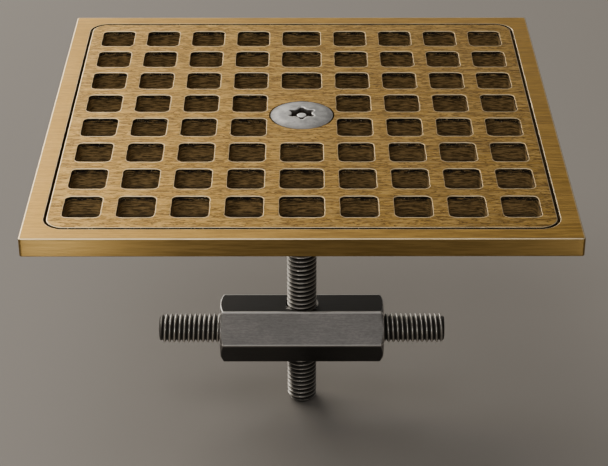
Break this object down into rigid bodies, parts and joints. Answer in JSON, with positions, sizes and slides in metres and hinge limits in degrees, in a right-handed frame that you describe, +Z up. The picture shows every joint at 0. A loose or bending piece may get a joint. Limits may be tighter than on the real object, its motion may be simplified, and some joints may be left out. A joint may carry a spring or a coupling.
{
  "type": "floor drain grate",
  "caption": "Square brass floor frame with a lift-out strainer plate of square holes, held down by a long screw, a hexagonal clamp bar and threaded studs that reach the pipe wall.",
  "frame": {"origin": "centre of the frame's underside, on the drain's centreline", "axes": "+Z up through the strainer, +X along the clamp bar towards the right stud's tip, +Y away along the frame's side"},
  "size_m": [0.1778, 0.1778, 0.1216],
  "materials": {
    "frame_brass": "brushed along X",
    "strainer_brass": "cast, brushed along X",
    "screw_steel": "satin head, dark thread",
    "clamp_steel": "dark, finely ground",
    "stud_steel": "dark, bright thread crests"
  },
  "bodies": {
    "frame": {"frame": "frame_brass"},
    "strainer": {"strainer": "strainer_brass"},
    "centre_screw": {"centre_screw": "screw_steel"},
    "clamp_bar": {"clamp_bar": "clamp_steel"},
    "right_stud": {"right_stud": "stud_steel"},
    "left_stud": {"left_stud": "stud_steel"}
  },
  "joints": [
    {"name": "grate_lift", "type": "slide", "parent": "frame", "child": "strainer", "axis": [0, 0, 1], "range_m": [0, 0.14]},
    {"name": "screw_turn", "type": "hinge", "parent": "strainer", "child": "centre_screw", "pos_m": [0, 0, 0], "axis": [0, 0, 1], "range_deg": [-12240, 3600]},
    {"name": "clamp_travel", "type": "slide", "parent": "strainer", "child": "clamp_bar", "axis": [0, 0, 1], "range_m": [-0.01814, 0.06168]},
    {"name": "right_stud_extend", "type": "slide", "parent": "clamp_bar", "child": "right_stud", "axis": [1, 0, 0], "range_m": [-0.008, 0.008]},
    {"name": "left_stud_extend", "type": "slide", "parent": "clamp_bar", "child": "left_stud", "axis": [-1, 0, 0], "range_m": [-0.008, 0.008]}
  ],
  "couplings": [
    {"joint": "screw_turn", "follows": "clamp_travel", "rad_per_m": -3463.2},
    {"joint": "left_stud_extend", "follows": "right_stud_extend", "ratio": 1}
  ]
}
